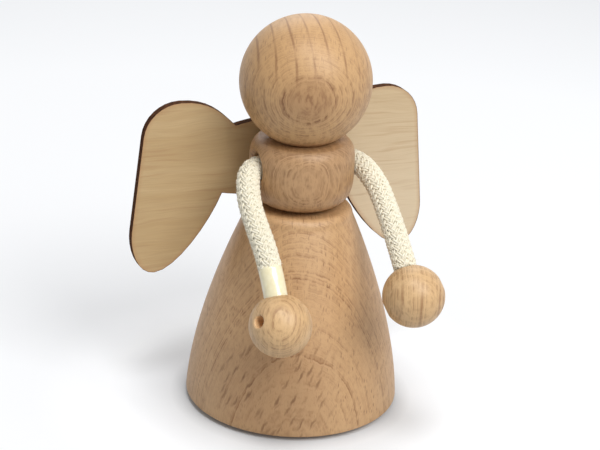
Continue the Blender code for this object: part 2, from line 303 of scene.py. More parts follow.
def beech(name, light, dark, pith, spacing=RING_SPACING, turn=(0.0, 0.0, 0.0), centre=(0.0, 0.0, 0.0),
          ring_strength=1.0, wobble=1.6, fleck_strength=0.5, roughness=0.45, bow=None, heart=None,
          curl=None, long_rays=None, strong_rings=None, hole=None):
    """Turned beech. pith is the ring centre's place across the grain; wobble counts the ring widths that
    the rings wander; bow is a height and a radius along the grain where the rings swell out; heart
    darkens the wood between two distances from the pith; curl is the place and reach of a patch of
    coarse figure; long_rays adds lines by (step, offset, low, high, lean) and makes the rings faint
    there; strong_rings adds such lines along the rings; hole is the direction of a drilled hole through
    the centre, on whose wall a painted light makes the wood paler."""
    material, shader, coords = start_material(name, roughness)
    if hole:
        offset = vector_calc('SUBTRACT', coords, centre)
        from_axis = vector_calc('LENGTH', vector_calc('CROSS_PRODUCT', offset, hole))
        hole_light = fade(from_axis, HOLE_LIGHT_REACH[1], HOLE_LIGHT_REACH[0])
    if any(turn) or any(centre):
        mapped = {"Vector": coords, "Location": centre, "Rotation": turn}
        coords = add_term('ShaderNodeMapping', mapped, vector_type='TEXTURE')
    x, y, z = separate(coords)

    # Distance from the pith, wavy along the grain and slightly jagged where rays cross
    slow = combine(x, y, z * 0.35)
    wave = noise(slow, scale=70.0)
    jag = noise(combine(x, y, z * 0.45), scale=760.0, detail=3.0)
    dx, dy = x - pith[0], y - pith[1]
    true_radial = calc('SQRT', dx * dx + dy * dy)
    radial = true_radial + wave * (spacing * wobble) + jag * (spacing * 0.55)
    if bow:
        rise = z - bow[0]
        radial = radial - rise * rise / (2 * bow[1])

    # Distance round the pith, counted from the side of the stick that faces away from it
    facing = math.atan2(-pith[1], -pith[0])
    spun = add_term('ShaderNodeVectorRotate', {"Vector": combine(dx, dy, 0.0), "Angle": -facing},
                    rotation_type='Z_AXIS')
    ahead, aside, _ = separate(spun)
    around = calc('ARCTAN2', aside, ahead) * math.hypot(*pith)

    # Rings: strong late-wood lines that differ from year to year, with finer lines between them
    count = radial / spacing
    late = ramp(calc('FRACT', count), *LATE_WOOD)
    vigour = calc('MULTIPLY_ADD', lot(calc('FLOOR', count)), 0.8, 0.2)
    fine = ramp(noise(combine(count * 4.0, 0.0, 0.0), detail=1.0), (0.42, 0.0), (0.62, 0.5))
    season = ramp(noise(combine(count * 0.37, 0.5, 0.0), detail=1.0), (0.36, 0.45), (0.60, 1.0))
    broken = ramp(noise(scaled(around, radial, z, BREAK_CELL)), (0.38, 0.10), (0.58, 1.0))
    rings = calc('MAXIMUM', late * vigour, fine) * broken * season
    strength = ring_strength
    if heart:
        core = fade(true_radial + jag * spacing, *heart)
        strength = calc('MULTIPLY_ADD', core, 0.9, strength)
    if long_rays:
        strength = calc('MULTIPLY_ADD', fade(z, *long_rays[2:4]), -0.55, 1.0) * strength

    # Rays: thin across the rings' run, tall along the grain, long towards the pith
    crowd = ramp(noise(slow, scale=110.0, detail=1.0), (0.35, 0.15), (0.65, 1.0))
    ticks = dashes(around, radial, z, TICK_CELL, 0.35) * crowd
    if curl:
        distance = vector_calc('LENGTH', vector_calc('SUBTRACT', coords, curl[0])) + wave * 0.012
        patch = fade(distance, curl[1], curl[1] * 0.45)
        slanted = around - z * COARSE_SLANT + jag * 0.0012
        coarse = dashes(slanted, radial, z, COARSE_CELL, 0.15, spread=0.38)
        ticks = calc('MAXIMUM', ticks, coarse * patch * 1.2)

    # Pores and a slow drift of colour
    pore = ramp(noise(scaled(x, y, z, PORE_CELL), detail=1.0), (0.30, 1.0), (0.44, 0.0))
    drift = ramp(noise(slow, scale=55.0, detail=3.0), (0.3, 0.0), (0.7, 1.0))

    # The colours, laid over each other from the ground up
    colour = tint(drift, light, tuple(channel * factor for channel, factor in zip(light, WARMER)))
    if heart:
        colour = tint(core * 0.36, colour, dark)
    if curl:
        colour = tint(patch * 0.30, colour, dark)
    colour = tint(calc('MULTIPLY', rings, strength, clamp=True), colour, dark)
    colour = tint(pore * 0.22, colour, dark)
    colour = tint(ticks * fleck_strength, colour, tuple(channel * 0.8 for channel in dark))
    if strong_rings:
        lines = long_lines(true_radial, around, z, *strong_rings)
        colour = tint(lines * LINE_DEPTH, colour, dark)
    if long_rays:
        lines = long_lines(around, true_radial - PITH_DISTANCE, z, *long_rays)
        colour = tint(lines * LINE_DEPTH, colour, dark)
    # Painted light: the wall of the threading hole is made paler
    if hole:
        colour = tint(hole_light, colour, HOLE_LIGHT_COLOUR)

    dull = calc('MULTIPLY_ADD', rings, 0.08, calc('MULTIPLY_ADD', pore, 0.12, roughness))
    relief = pore * 0.8 + ticks * 0.6 + rings * 0.5
    feed(shader, {"Base Color": colour, "Roughness": dull, "Specular IOR Level": 0.55,
                  "Normal": bump(relief * -1.0, 0.00005, 0.4)})
    return material


def pith_place(azimuth):
    return (-math.sin(azimuth) * PITH_DISTANCE, math.cos(azimuth) * PITH_DISTANCE)


HEAD_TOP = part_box("head")[1][2]
HEAD_RADIUS = 0.0161
HEAD_MIDDLE = HEAD_TOP - HEAD_RADIUS
stick_pith = pith_place(PITH_AZIMUTH)
skirt_beech = beech("skirt_beech", (0.57, 0.36, 0.185), (0.25, 0.115, 0.042), stick_pith,
                    ring_strength=1.1, fleck_strength=0.7, curl=((-0.0135, -0.0200, 0.011), 0.028))
bust_beech = beech("bust_beech", (0.49, 0.296, 0.146), (0.19, 0.085, 0.030),
                   pith_place(PITH_AZIMUTH * 0.8), ring_strength=1.35, wobble=2.0, bow=(0.0613, 0.040))
head_beech = beech("head_beech", (0.56, 0.347, 0.166), (0.22, 0.098, 0.036), stick_pith,
                   ring_strength=1.5, wobble=2.2, heart=(PITH_DISTANCE + 0.0146, PITH_DISTANCE + 0.0164),
                   long_rays=(0.0034, 0.0017, HEAD_MIDDLE + 0.001, HEAD_MIDDLE + 0.008, -0.20))
print("beech finishes", [m.name for m in (skirt_beech, bust_beech, head_beech)])

# %% [markdown]
# A turned piece is a profile spun about the axis. The frame's solids could be subdivided, but their
# facets would stay flat; here the same profiles are spun again with many more rings and soft edges.

# %% Turning helpers
FIT_GAP = 0.0003
TURNED_STEPS = 192
SOFT_BELOW = 40.0


def skin(bm, rings):
    """Faces between neighbouring rings; where a ring is one repeated vertex they are triangles."""
    for lower, upper in zip(rings, rings[1:]):
        for k, vert in enumerate(lower):
            after = (k + 1) % len(lower)
            bm.faces.new(list(dict.fromkeys((vert, lower[after], upper[after], upper[k]))))


def spin(profile, steps=TURNED_STEPS):
    """Turn (radius, height) points, foot first; a radius of 0 closes an end."""
    bm = bmesh.new()
    angles = [2 * math.pi * k / steps for k in range(steps)]
    rings = []
    for radius, height in profile:
        if radius == 0.0:
            rings.append([bm.verts.new((0.0, 0.0, height))] * steps)
        else:
            rings.append([bm.verts.new((radius * math.cos(angle), radius * math.sin(angle), height))
                          for angle in angles])
    skin(bm, rings)
    return bm


def arc(centre, radius, start, end, steps):
    """Points on a circle between two angles in degrees."""
    points = []
    for k in range(steps + 1):
        angle = math.radians(start + (end - start) * k / steps)
        points.append((centre[0] + radius * math.cos(angle), centre[1] + radius * math.sin(angle)))
    return points


def soften(mesh, sharp_angle):
    """Smooth shading that keeps edges above an angle sharp."""
    mesh.shade_smooth()
    mesh.set_sharp_from_angle(angle=math.radians(sharp_angle))


def add_piece(name, bm, material, sharp_angle=SOFT_BELOW):
    """A finished mesh piece with its place in its mesh."""
    bmesh.ops.recalc_face_normals(bm, faces=bm.faces)
    mesh = bpy.data.meshes.new(name)
    bm.to_mesh(mesh)
    bm.free()
    mesh.materials.append(material)
    soften(mesh, sharp_angle)
    return add_object(name, mesh)


print("turning helpers ready")

# %% [markdown]
# The skirt is a turned bell. Its side could be drawn by hand; a power of the height gives the same even
# flare with one number. The under-edge slopes inwards, which makes the dark line at the foot. The hole
# for the waist dowel is part of the profile, and the rim is planed behind for the wings.

# %% Skirt
SKIRT_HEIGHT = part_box("skirt")[1][2]
SKIRT_BASE_RADIUS = 0.02705
SKIRT_TOP_RADIUS = 0.01225
SKIRT_FLARE = 1.62
SKIRT_STEPS = 60
FOOT_BEVEL = 0.0011
BEVEL_SLOPE = math.radians(14.0)
FOOT_ROUND = 0.0004
SKIRT_RIM_ROUND = 0.0022
RIM_START = 15.0
DOWEL_RADIUS = 0.003
DOWEL_HOLE_RADIUS = DOWEL_RADIUS + FIT_GAP
WAIST_HOLE = (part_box("waist_dowel")[0][2] - FIT_GAP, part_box("waist_dowel")[1][2] + FIT_GAP)
WING_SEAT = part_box("wings")[0][1] - FIT_GAP
BRIDGE_FOOT = 0.0510


def dowel_hole(seat, end):
    """Profile points of a dowel's hole, from its end in the wood to the seat."""
    return [(0.0, end), (DOWEL_HOLE_RADIUS, end), (DOWEL_HOLE_RADIUS, seat)]


def skirt_radius(height):
    share = (height / SKIRT_HEIGHT) ** SKIRT_FLARE
    return SKIRT_BASE_RADIUS - (SKIRT_BASE_RADIUS - SKIRT_TOP_RADIUS) * share


def skirt_profile():
    """Foot, bevelled under-edge, flared side, soft rim and dowel hole."""
    side_foot = FOOT_BEVEL + FOOT_ROUND * math.cos(BEVEL_SLOPE)
    corner = (skirt_radius(side_foot) - FOOT_ROUND, side_foot)
    edge = arc(corner, FOOT_ROUND, math.degrees(BEVEL_SLOPE) - 90.0, 0.0, 8)
    reach = edge[0][0] - FOOT_BEVEL / math.tan(BEVEL_SLOPE)
    points = [(0.0, 0.0), (reach * 0.5, 0.0), (reach, 0.0)] + edge
    side_top = SKIRT_HEIGHT - SKIRT_RIM_ROUND
    for k in range(1, SKIRT_STEPS + 1):
        height = side_foot + (side_top - side_foot) * k / SKIRT_STEPS
        points.append((skirt_radius(height), height))
    rim = (skirt_radius(side_top) - SKIRT_RIM_ROUND, side_top)
    points += arc(rim, SKIRT_RIM_ROUND, RIM_START, 90.0, 5)
    return points + dowel_hole(SKIRT_HEIGHT, WAIST_HOLE[0])[::-1]


def flatten_back(bm, foot):
    """Plane the back of a turned piece where the wings are glued."""
    for vert in bm.verts:
        if vert.co.z > foot:
            vert.co.y = min(vert.co.y, WING_SEAT)


skirt_mesh = spin(skirt_profile())
flatten_back(skirt_mesh, BRIDGE_FOOT - 2 * FIT_GAP)
skirt = add_piece("skirt_turned", skirt_mesh, skirt_beech)
print("skirt faces", len(skirt.data.polygons))

# %% [markdown]
# The bust is a small barrel, drilled from side to side for the arms. Two quarters of a superellipse
# give it full sides and flat ends. The bore could be modelled edge by edge, but a Boolean with a
# drill-shaped tool makes the countersunk mouths as a drill does.

# %% Bust with its cross bore
BUST_FOOT, BUST_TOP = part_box("bust")[0][2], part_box("bust")[1][2]
BUST_RADIUS = 0.01295
WIDEST_RISE = 0.0099
BUST_WIDEST = BUST_FOOT + WIDEST_RISE
FOOT_TRIM, FOOT_SQUARENESS = 0.0002, 3.7
TOP_TRIM, TOP_SQUARENESS = 0.0014, 4.0
NECK_HOLE = (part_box("neck_dowel")[0][2] - FIT_GAP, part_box("neck_dowel")[1][2] + FIT_GAP)
ARM_DROP = 0.0066
ARM_HEIGHT = BUST_TOP - ARM_DROP
CORD_RADIUS = 0.003
BORE_CLEARANCE = 0.0007
BORE_RADIUS = CORD_RADIUS + BORE_CLEARANCE
MOUTH_SINK = 0.0016
MOUTH_EDGE = ((0.0, -0.0003), (0.00008, 0.0), (0.0003, 0.00026))
TOOL_OVERRUN = 0.002


def bust_profile(steps=64):
    """Two superellipse quarters that meet at the widest height, with a dowel hole at each end."""
    points = dowel_hole(BUST_FOOT, WAIST_HOLE[1])
    for k in range(steps + 1):
        share = math.sin(math.pi * (k / steps - 0.5))
        if share < 0.0:
            reach, trim, squareness = BUST_WIDEST - BUST_FOOT, FOOT_TRIM, FOOT_SQUARENESS
        else:
            reach, trim, squareness = BUST_TOP - BUST_WIDEST, TOP_TRIM, TOP_SQUARENESS
        offset = reach * share
        fullness = 1 - abs(offset / (reach + trim)) ** squareness
        points.append((BUST_RADIUS * fullness ** (1 / squareness), BUST_WIDEST + offset))
    return points + dowel_hole(BUST_TOP, NECK_HOLE[0])[::-1]


def aim(direction):
    """A turn that takes +Z to a direction."""
    return Vector((0.0, 0.0, 1.0)).rotation_difference(direction).to_matrix().to_4x4()


def bore_tool():
    """A long drill with a countersink at each end."""
    sink = BUST_RADIUS - MOUTH_SINK
    beyond = BUST_RADIUS + TOOL_OVERRUN
    outer = [(BORE_RADIUS + wider, sink + further) for wider, further in MOUTH_EDGE]
    outer.append((BORE_RADIUS + beyond - sink, beyond))
    lower = [(radius, -height) for radius, height in reversed(outer)]
    bm = spin([(0.0, -beyond)] + lower + outer + [(0.0, beyond)], 96)
    bm.transform(Matrix.Translation((0.0, 0.0, ARM_HEIGHT)) @ aim(Vector((1.0, 0.0, 0.0))))
    return add_piece("bore_tool", bm, bust_beech)


def plain_mesh(item):
    """The mesh that an object's modifiers make of it."""
    bpy.context.view_layer.update()
    return bpy.data.meshes.new_from_object(item.evaluated_get(bpy.context.evaluated_depsgraph_get()))


def bore(piece, cutter, sharp_angle=SOFT_BELOW):
    """Cut a tool shape out of a piece and drop the tool."""
    modifier = piece.modifiers.new("bore", 'BOOLEAN')
    modifier.operation = 'DIFFERENCE'
    modifier.solver = 'EXACT'
    modifier.object = cutter
    mesh = plain_mesh(piece)
    piece.modifiers.clear()
    piece.data = mesh
    bpy.data.objects.remove(cutter)
    soften(mesh, sharp_angle)


bust_mesh = spin(bust_profile())
flatten_back(bust_mesh, 0.0)
bust = add_piece("bust_turned", bust_mesh, bust_beech)
bore(bust, bore_tool())
print("bust faces", len(bust.data.polygons))

# %% [markdown]
# The head is a plain ball without a face, with a flat seat on the bust. Blender has a ready sphere, but
# the seat and the dowel's hole are easier as points of a profile.

# %% Head
HEAD_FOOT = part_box("head")[0][2]


def head_profile(steps=72):
    first = math.degrees(math.asin((HEAD_FOOT - HEAD_MIDDLE) / HEAD_RADIUS))
    ball = arc((0.0, HEAD_MIDDLE), HEAD_RADIUS, first, 90.0, steps)
    return dowel_hole(HEAD_FOOT, NECK_HOLE[1]) + ball[:-1] + [(0.0, HEAD_TOP)]


head = add_piece("head_turned", spin(head_profile()), head_beech)
print("head top", round(HEAD_TOP, 4))

# %% [markdown]
# The wings are thin plywood. The face veneer has fine grain running across; the wing on the figure's
# left gets a painted light that makes it paler, most in its lower part, and fades its grain there. The
# rim was burnt by the cutting beam, with a faint warm halo on the face. A shader could look for edges,
# but a number stored on the mesh is steadier.

# %% Plywood finish
VENEER_LIGHT, VENEER_DARK, VENEER_PAINTED_LIGHT = (0.552, 0.398, 0.208), (0.490, 0.336, 0.162), (0.70, 0.575, 0.400)
FIBRE_COLOUR, VEIN_COLOUR, HALO_COLOUR = (0.430, 0.285, 0.145), (0.390, 0.225, 0.100), (0.44, 0.235, 0.105)
CHAR_DARK, CHAR_LIGHT = (0.030, 0.014, 0.008), (0.115, 0.045, 0.020)
LAZY_CELL, LAZY_BEND = (0.024, 1.0, 0.0055), 0.004
BAND_CELL = (0.08, 1.0, 0.0030)
FIBRE_CELL = (0.009, 1.0, 0.00038)
VEIN_CELL = (0.022, 1.0, 0.0011)
SOOT_CELL = (0.0012, 0.00035, 0.0012)


def plywood(name):
    material, shader, coords = start_material(name, 0.6)
    x, y, z = separate(coords)
    scorch = attribute(coords.tree, "scorch")
    bend = z + noise(scaled(x, y, z, LAZY_CELL)) * LAZY_BEND
    band = ramp(noise(scaled(x, 0.0, bend, BAND_CELL), detail=3.0), (0.35, 0.0), (0.65, 1.0))
    fibre = ramp(noise(scaled(x, 0.0, bend, FIBRE_CELL)), (0.38, 0.0), (0.70, 1.0))
    vein = ramp(noise(scaled(x, 0.0, bend, VEIN_CELL)), (0.56, 0.0), (0.70, 1.0))
    # Painted light: towards the figure's left and lower down, the veneer is mixed to a paler colour and its
    # grain fades
    painted_light = fade(x, 0.008, 0.020) * ramp(z, (0.048, 0.92), (0.086, 0.22))
    halo = ramp(scorch, (0.0, 0.0), (0.30, 0.30), (0.45, 0.65), (1.0, 0.65))
    burnt = ramp(scorch, (0.45, 0.0), (0.90, 1.0))
    soot = ramp(noise(scaled(x, y, z, SOOT_CELL), detail=3.0), (0.35, 0.0), (0.65, 1.0))

    colour = tint(band, VENEER_LIGHT, VENEER_DARK)
    colour = tint(painted_light, colour, VENEER_PAINTED_LIGHT)
    colour = tint(fibre * calc('MULTIPLY_ADD', painted_light, -0.34, 0.42), colour, FIBRE_COLOUR)
    colour = tint(vein * calc('MULTIPLY_ADD', painted_light, -0.18, 0.45), colour, VEIN_COLOUR)
    colour = tint(halo, colour, HALO_COLOUR)
    colour = tint(burnt, colour, tint(soot, CHAR_DARK, CHAR_LIGHT))
    feed(shader, {"Base Color": colour, "Roughness": calc('MULTIPLY_ADD', burnt, 0.25, 0.6),
                  "Specular IOR Level": calc('MULTIPLY_ADD', burnt, -0.55, 0.6),
                  "Normal": bump(fibre * -1.0, 0.00004, 0.4)})
    return material


wing_plywood = plywood("wing_plywood")
print("plywood ready")

# %% [markdown]
# Both wings and the bridge between them are one flat panel. Its outline could be traced again, but the
# frame's solid already has it, so the panel starts as a copy. Two narrow inset loops on each face carry
# the scorch: full on the rim, less beside it and none further in.

# %% Wings
MERGE_DISTANCE = 0.000005
FLAT_ANGLE = 0.01
SCORCH_LOOPS = ((0.00016, 0.40), (0.0011, 0.0))


def wing_panel():
    """The frame's panel with merged corners, large flat faces and scorch loops round each face."""
    bm = bmesh.new()
    bm.from_mesh(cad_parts["wings"].data)
    bmesh.ops.remove_doubles(bm, verts=bm.verts, dist=MERGE_DISTANCE)
    flat = [edge for edge in bm.edges
            if len(edge.link_faces) == 2 and edge.calc_face_angle() < FLAT_ANGLE]
    bmesh.ops.dissolve_edges(bm, edges=flat, use_verts=False, use_face_split=False)
    bmesh.ops.recalc_face_normals(bm, faces=bm.faces)
    layer = bm.verts.layers.float.new("scorch")
    for vert in bm.verts:
        vert[layer] = 1.0
    faces = [face for face in bm.faces if abs(face.normal.y) > 0.9]
    for inset, value in SCORCH_LOOPS:
        known = set(bm.verts)
        bmesh.ops.inset_individual(bm, faces=faces, thickness=inset, use_even_offset=True)
        for vert in bm.verts:
            if vert not in known:
                vert[layer] = value
    return bm


wings = add_piece("wings_panel", wing_panel(), wing_plywood, sharp_angle=50.0)
print("wing faces", len(wings.data.polygons))

# %% [markdown]
# Each arm is a length of braided cotton cord that bends inside the wide mouth of the cross bore and
# falls forward to the hand. It could be simulated, but this cord is stiff and keeps its bend, so a
# smooth curve runs through the points of the solids. The left arm is the same route, raised about the
# bore.

# %% Arm routes
PIVOT_INSET = 0.00035
PIVOT_X = BUST_RADIUS - PIVOT_INSET
LEFT_ARM_RAISE = math.radians(9.5)
BEAD_RADIUS = 0.0075
BEAD_SOCKET_DEPTH = 0.005
SLEEVE_SHOWING = {"right": 0.006, "left": -0.0006}
OUTWARDS = {"right": -1.0, "left": 1.0}
ARM_ROUTE = (
    (-0.0028, 0.0, 0.0), (-0.0016, 0.0, 0.0), (-0.00049, -0.00019, -0.00011),
    (0.00054, -0.00062, -0.00036), (0.00151, -0.00135, -0.00079), (0.00245, -0.00265, -0.0016),
    (0.00325, -0.0047, -0.00305), (0.00385, -0.0072, -0.00505), (0.00405, -0.0102, -0.0076),
    (0.00385, -0.0137, -0.01065), (0.00355, -0.0177, -0.0142), (0.00335, -0.0216, -0.0186),
    (0.00335, -0.0252, -0.0235), (0.0035, -0.0287, -0.0287))


def pivot(side):
    """The middle of a bore's mouth, where that arm turns."""
    return Vector((OUTWARDS[side] * PIVOT_X, 0.0, ARM_HEIGHT))


def arm_points(side):
    """World points of one arm, from inside the bore to the middle of its hand."""
    turn = Matrix.Rotation(-LEFT_ARM_RAISE if side == "left" else 0.0, 4, 'X')
    return [pivot(side) + turn @ Vector((OUTWARDS[side] * x, y, z)) for x, y, z in ARM_ROUTE]


def smooth_route(points, steps=12):
    """A Catmull-Rom curve through the points."""
    ends = [points[0] * 2 - points[1], *points, points[-1] * 2 - points[-2]]
    curve = []
    for a, b, c, d in zip(ends, ends[1:], ends[2:], ends[3:]):
        for k in range(steps):
            t = k / steps
            curve.append(0.5 * (2 * b + (c - a) * t + (2 * a - 5 * b + 4 * c - d) * t ** 2
                                + (3 * b - a - 3 * c + d) * t ** 3))
    curve.append(points[-1])
    return curve


def run_length(points):
    return sum((b - a).length for a, b in zip(points, points[1:]))


def cut_run(points, start, end, spacing=0.0005):
    """The part of a run between two distances along it, evenly spaced."""
    lengths = [0.0]
    for a, b in zip(points, points[1:]):
        lengths.append(lengths[-1] + (b - a).length)
    count = max(2, round((end - start) / spacing))
    cut = []
    index = 0
    for k in range(count + 1):
        wanted = start + (end - start) * k / count
        while index < len(points) - 2 and lengths[index + 1] < wanted:
            index += 1
        share = (wanted - lengths[index]) / (lengths[index + 1] - lengths[index])
        cut.append(points[index].lerp(points[index + 1], share))
    return cut


arm_runs = {side: smooth_route(arm_points(side)) for side in OUTWARDS}
for side, run in arm_runs.items():
    print(side, "arm", round(run_length(run) * 1000, 1), "mm to the middle of the hand")

# %% [markdown]
# The cord is off-white cotton. Its yarns are spun from plies, so fine slanting grooves run along them,
# and they differ a little in tone. Light alone leaves the hollows of the braid too bright at this size,
# so a painted shade darkens them by the depth that each yarn stores, and a lighter painted shade lies
# in the plies' grooves.

# %% Cotton finish
YARN_LIGHT, YARN_DARK, CLOUD_COLOUR = (0.92, 0.88, 0.745), (0.88, 0.83, 0.68), (0.76, 0.69, 0.52)
GROOVE_SHADE, HOLLOW_SHADE = (0.60, 0.54, 0.40), (0.40, 0.37, 0.27)
PLIES_PER_METRE = 1100.0


def cotton(name):
    material, shader, coords = start_material(name, 0.9)
    along, around, number, depth = (attribute(coords.tree, "yarn_" + key)
                                    for key in ("along", "around", "number", "depth"))
    twist = along * PLIES_PER_METRE + around * 2.0
    ply = ramp(calc('PINGPONG', twist, 0.5) * 2.0, (0.0, 0.0), (0.35, 1.0), (1.0, 1.0))
    cloud = noise(coords, scale=420.0, detail=3.0)
    hollow_shade = ramp(depth, (0.0, 1.0), (0.55, 0.25), (0.85, 0.0))
    colour = tint(lot(number), YARN_LIGHT, YARN_DARK)
    colour = tint(cloud * 0.30, colour, CLOUD_COLOUR)
    # Painted shade in the plies' grooves
    colour = tint((1.0 - ply) * 0.25, colour, GROOVE_SHADE)
    # Painted shade in the braid's hollows, deepest where a yarn passes under
    colour = tint(hollow_shade * 0.75, colour, HOLLOW_SHADE)
    feed(shader, {"Base Color": colour, "Sheen Weight": 0.1, "Sheen Roughness": 0.5,
                  "Specular IOR Level": 0.2, "Normal": bump(ply, 0.00006, 0.6)})
    return material


cord_cotton = cotton("cord_cotton")
print("cotton ready")

# %% [markdown]
# The braid follows a rule, so Geometry Nodes make it. Half of the strands wind one way and half the
# other, each passing over two and under two of its opposites; every strand is a pair of yarns, and the
# crossings wander a little. One modelled crossing could be repeated, but it would tear in the bend;
# here each yarn is a copy of the arm's own line that a formula moves round it.

# %% Braid winding
CROWN = 0.00007
STRAY_LENGTH = 0.0021
YARN_SIDES = 6


def stretched(vector, factor):
    return add_term('ShaderNodeVectorMath', {0: vector, "Scale": factor}, operation='SCALE')


def stored(geometry, name, value):
    """Geometry that keeps a value for the cotton finish."""
    return add_term('GeometryNodeStoreNamedAttribute', {"Geometry": geometry, "Name": name, "Value": value})


def tube(line, section):
    return add_term('GeometryNodeCurveToMesh', {"Curve": line, "Profile Curve": section, "Fill Caps": True})


def wound_yarns(source):
    """Copies of the cord's line, each moved to its yarn's place in the braid."""
    tree = source["Cord"].tree
    line = add_term('GeometryNodeResampleCurve', {"Curve": source["Cord"], "Count": source["Points"]})
    amount = source["Strands"] * source["Yarns"]
    copies = add_node('GeometryNodeDuplicateElements', {"Geometry": line, "Amount": amount}, domain='SPLINE')
    number = Term(copies, "Duplicate Index")

    # Which strand a copy belongs to, which way that winds, and the copy's step from its middle
    strand = calc('FLOOR', number / source["Yarns"])
    hand = calc('FLOORED_MODULO', strand, 2.0) * 2.0 - 1.0
    slot = calc('FLOOR', strand / 2.0)
    half = source["Strands"] / 2.0
    step = calc('FLOORED_MODULO', number, source["Yarns"]) - (source["Yarns"] - 1.0) / 2.0

    # The angle round the cord, and the lift over two strands and under the next two
    length = add_term('GeometryNodeSplineParameter', output="Length", tree=tree)
    wound = length / source["Lead"] * (2 * math.pi)
    sideways = step * source["Yarn step"] / source["Core radius"] * math.sqrt(2.0)
    angle = slot / half * (2 * math.pi) + hand * wound + sideways
    phase = hand * wound * (half / 2.0) + slot * math.pi
    lift = calc('COSINE', phase - math.pi / 4) * hand
    stray = noise(combine(strand * 7.0 + length / STRAY_LENGTH, source["Seed"], 0.5), detail=1.0)
    stray = (stray - 0.5) * source["Wander"]
    radius = source["Core radius"] + lift * source["Over under"] - step * step * CROWN + stray
    angle = angle + stray * 3.0 / source["Core radius"]

    normal = add_term('GeometryNodeInputNormal', tree=tree)
    side = vector_calc('CROSS_PRODUCT', add_term('GeometryNodeInputTangent', tree=tree), normal)
    move = vector_calc('ADD', stretched(normal, radius * calc('COSINE', angle)),
                       stretched(side, radius * calc('SINE', angle)))
    yarns = stored(Term(copies, "Geometry"), "yarn_along", length)
    yarns = stored(yarns, "yarn_number", number)
    yarns = stored(yarns, "yarn_depth", calc('MULTIPLY_ADD', lift, 0.5, 0.5))
    yarns = add_term('GeometryNodeSetPosition', {"Geometry": yarns, "Offset": move})
    section = add_term('GeometryNodeCurvePrimitiveCircle',
                       {"Resolution": YARN_SIDES, "Radius": source["Yarn radius"]})
    turn = add_term('GeometryNodeSplineParameter', output="Factor", tree=tree)
    return tube(yarns, stored(section, "yarn_around", turn))


print("winding ready")

# %% [markdown]
# Short loose fibres stand off the yarns and soften the cord's outline. A hair system could do it, but
# bent hairs scattered with a fixed seed are the same in every render. The cord's inner end stays bare,
# where the two arms meet. The tree's sizes are its inputs.

# %% Braid tree
BRAID_SIZES = {"Strands": 24, "Yarns": 2, "Core radius": 0.00230, "Lead": 0.0190, "Over under": 0.00034,
               "Wander": 0.00020, "Yarn radius": 0.00031, "Yarn step": 0.00042, "Points": 120,
               "Fibre density": 1000000.0, "Fibre length": 0.0008, "Bare end": 0.0014, "Seed": 7}
FIBRE_BEND = {"Start": (0.0, 0.0, 0.0), "Middle": (0.1, 0.0, 0.5), "End": (0.6, 0.1, 0.8)}
FIBRE_THICKNESS = 0.018
FIBRE_LEAN = {0: (-0.9, -0.9, 0.0), 1: (0.9, 0.9, 6.28)}
SHORTEST_FIBRE = 0.3


def loose_fibres(source, yarns):
    """Bent hairs on the yarns, except near the cord's inner end."""
    tree = yarns.tree
    along = add_term('GeometryNodeInputNamedAttribute', {"Name": "yarn_along"}, tree=tree)
    scatter = add_node('GeometryNodeDistributePointsOnFaces', {
        "Mesh": yarns, "Density": source["Fibre density"], "Seed": source["Seed"],
        "Selection": calc('GREATER_THAN', along, source["Bare end"])})
    line = add_term('GeometryNodeCurveQuadraticBezier', {"Resolution": 3, **FIBRE_BEND}, tree=tree)
    section = add_term('GeometryNodeCurvePrimitiveCircle',
                       {"Resolution": 3, "Radius": FIBRE_THICKNESS}, tree=tree)
    spread = add_term('FunctionNodeRandomValue', {**FIBRE_LEAN, "Seed": source["Seed"]},
                      data_type='FLOAT_VECTOR')
    lean = add_term('FunctionNodeRotateRotation',
                    {"Rotation": Term(scatter, "Rotation"), "Rotate By": spread}, rotation_space='LOCAL')
    size = add_term('FunctionNodeRandomValue', {2: SHORTEST_FIBRE, 3: 1.0, "Seed": source["Seed"]}, 1)
    return add_term('GeometryNodeInstanceOnPoints', {
        "Points": Term(scatter, "Points"), "Instance": tube(line, section),
        "Rotation": lean, "Scale": size * source["Fibre length"]})


def braid_tree():
    """A round two-over-two braid with loose fibres, along the curve that the modifier sits on."""
    tree = bpy.data.node_groups.new("cotton_braid", 'GeometryNodeTree')
    sockets = tree.interface
    sockets.new_socket("Cord", in_out='INPUT', socket_type='NodeSocketGeometry')
    for name, value in BRAID_SIZES.items():
        kind = 'NodeSocketInt' if isinstance(value, int) else 'NodeSocketFloat'
        sockets.new_socket(name, in_out='INPUT', socket_type=kind).default_value = value
    sockets.new_socket("Finish", in_out='INPUT', socket_type='NodeSocketMaterial')
    sockets.new_socket("Braid", in_out='OUTPUT', socket_type='NodeSocketGeometry')
    entry = add_node('NodeGroupInput', tree=tree)
    source = {socket.name: Term(entry, socket.name) for socket in entry.outputs if socket.name}

    yarns = wound_yarns(source)
    together = add_node('GeometryNodeJoinGeometry', {0: loose_fibres(source, yarns)})
    feed(together, {0: yarns})
    real = add_term('GeometryNodeRealizeInstances', {0: Term(together)})
    smooth = add_term('GeometryNodeSetShadeSmooth', {0: real})
    paint = add_term('GeometryNodeSetMaterial', {"Geometry": smooth, "Material": source["Finish"]})
    add_node('NodeGroupOutput', {0: paint})
    return tree


cotton_braid = braid_tree()
print("braid nodes", len(cotton_braid.nodes))

# %% [markdown]
# The two cords meet end to end in the middle of the bust and run through the bore to the hands. The braid
# could stay a modifier, but the result is converted to a plain mesh and the guide curve is dropped.

# %% Braided arms
TAPE_LAP = {"right": 0.0009, "left": -FIT_GAP}
INNER_END = 0.00035
BORE_POINTS = 24
BRAID_SPACING = 0.00032
TAPE_SPACING = 0.0003


def set_input(modifier, name, value):
    """Set a modifier's input by the identifier of its socket."""
    modifier[modifier.node_group.interface.items_tree[name].identifier] = value


